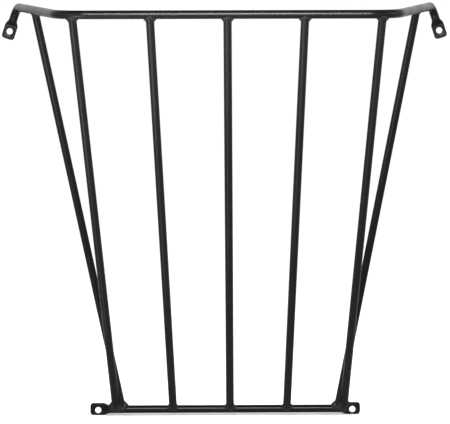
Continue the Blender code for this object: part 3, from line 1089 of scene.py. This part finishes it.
class RACK_OT_stage(bpy.types.Operator):
    """Set up the floor, the studio, the lamps and the camera"""

    bl_idname = "rack.stage"
    bl_label = "Stage"

    def execute(self, context):
        scene = context.scene
        look = scene.rack_stage
        self.floor(look)
        self.studio(scene, look)
        self.lamps(scene, look)
        self.camera(scene, look)
        scene.view_settings.view_transform = "Standard"
        return {"FINISHED"}

    def seen(self, shader, in_coat=1.0):
        """1 for the camera's rays, in_coat for rays off a gloss or through glass, 0 for others."""
        path = shader.add("ShaderNodeLightPath")
        rays = [Value(shader, path.outputs[name])
                for name in ("Is Camera Ray", "Is Glossy Ray", "Is Transmission Ray")]
        return shader.maths("MAXIMUM", rays[0], in_coat * shader.maths("MAXIMUM", rays[1], rays[2]))

    def floor(self, look):
        low = CAD_BOX[0].z - FLOOR_GAP
        bm = bmesh.new()
        rings = [add_ring(bm, [Vector((radius * math.cos(turn), radius * math.sin(turn), low))
                               for turn in full_turn(FLOOR_SIDES)])
                 for radius in FLOOR_RINGS]
        skin(bm, rings)
        cap(bm, rings[0])
        material = bpy.data.materials.new("floor")
        shader = Shader(material)
        plain = shader.add("ShaderNodeBsdfDiffuse", None, {"Color": look.floor_colour})
        # Painted shadow: the floor's white glow is dimmed by ambient occlusion looking forwards and
        # up, so a contact shade lies under and behind the rail
        forwards = shader.add("ShaderNodeCombineXYZ", None, {"X": 0.0, "Y": -0.85, "Z": 0.53})
        open_sky = shader.value("ShaderNodeAmbientOcclusion", {"samples": 16}, {
            "Distance": SHADE_REACH, "Normal": forwards.outputs[0]}, "AO")
        glow = FLOOR_WHITE * self.seen(shader, FLOOR_IN_COAT) * open_sky ** SHADE_POWER
        white = shader.add("ShaderNodeEmission", None, {"Color": look.surround, "Strength": glow})
        both = shader.add("ShaderNodeAddShader", None, {0: plain.outputs[0], 1: white.outputs[0]})
        shader.add("ShaderNodeOutputMaterial", None, {"Surface": both.outputs[0]})
        make_piece("floor", bm, material)

    def studio(self, scene, look):
        world = bpy.data.worlds.new("studio")
        scene.world = world
        shader = Shader(world)
        height = shader.value("ShaderNodeSeparateXYZ", None, {
            "Vector": shader.add("ShaderNodeTexCoord").outputs["Generated"]}, output="Z")
        sky = shader.blend(height.between(0.45, 0.85), look.surround, look.zenith)
        strength = look.ambient + (1 - look.ambient) * self.seen(shader)
        light = shader.add("ShaderNodeBackground", None, {"Color": sky, "Strength": strength})
        shader.add("ShaderNodeOutputWorld", None, {"Surface": light.outputs[0]})

    def lamps(self, scene, look):
        """Softboxes with grids over them, which keep their light near their aim."""
        for name, (power, place, aim, size, grid) in LAMPS.items():
            data = bpy.data.lights.new(name, "AREA")
            data.shape = "RECTANGLE"
            data.size, data.size_y = size
            data.energy = getattr(look, power)
            data.spread = math.radians(grid)
            lamp = bpy.data.objects.new(name, data)
            lamp.location = place
            lamp.rotation_mode = "QUATERNION"
            lamp.rotation_quaternion = Vector(aim).to_track_quat("-Z", "Y")
            lamp.visible_camera = False
            scene.collection.objects.link(lamp)

    def camera(self, scene, look):
        data = bpy.data.cameras.new("camera")
        data.sensor_width = 36.0
        data.lens = look.lens
        data.clip_end = 200.0
        camera = bpy.data.objects.new("camera", data)
        yaw, pitch, roll = look.camera_turn
        ahead = Vector((math.sin(yaw) * math.cos(pitch), math.cos(yaw) * math.cos(pitch),
                        -math.sin(pitch)))
        right = Vector((math.cos(yaw), -math.sin(yaw), 0.0))
        up = right.cross(ahead)
        right, up = (right * math.cos(roll) + up * math.sin(roll),
                     up * math.cos(roll) - right * math.sin(roll))
        camera.location = look.camera_place
        camera.rotation_mode = "QUATERNION"
        camera.rotation_quaternion = Matrix((right, up, -ahead)).transposed().to_quaternion()
        scene.collection.objects.link(camera)
        scene.camera = camera


class RACK_PT_panel(bpy.types.Panel):
    """The hay rack's sizes, looks and steps"""

    bl_idname = "RACK_PT_panel"
    bl_label = "Hay rack"
    bl_space_type = "VIEW_3D"
    bl_region_type = "UI"
    bl_category = "Hay rack"

    def draw(self, context):
        for name in GROUPS:
            group = getattr(context.scene, name)
            box = self.layout.box()
            for prop in group.bl_rna.properties:
                if prop.identifier not in ("rna_type", "name"):
                    box.prop(group, prop.identifier)
        for operator in OPERATORS:
            self.layout.operator(operator.bl_idname)


GROUPS = {"rack_sizes": RackSizes, "rack_lugs": LugSizes, "rack_welds": WeldSizes,
          "rack_coat": CoatLook, "rack_stage": StageLook}
OPERATORS = (RACK_OT_hoop, RACK_OT_rail, RACK_OT_front_bars, RACK_OT_side_bars,
             RACK_OT_top_welds, RACK_OT_foot_welds, RACK_OT_stage)


def register():
    for made in (*GROUPS.values(), *OPERATORS, RACK_PT_panel):
        bpy.utils.register_class(made)
    for name, group in GROUPS.items():
        setattr(bpy.types.Scene, name, PointerProperty(type=group))


def unregister():
    for name in GROUPS:
        delattr(bpy.types.Scene, name)
    for made in reversed((*GROUPS.values(), *OPERATORS, RACK_PT_panel)):
        bpy.utils.unregister_class(made)


def main():
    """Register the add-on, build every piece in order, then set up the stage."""
    register()
    bpy.ops.rack.hoop()
    bpy.ops.rack.rail()
    bpy.ops.rack.front_bars()
    bpy.ops.rack.side_bars()
    bpy.ops.rack.top_welds()
    bpy.ops.rack.foot_welds()
    bpy.ops.rack.stage()


if __name__ == "__main__":
    main()
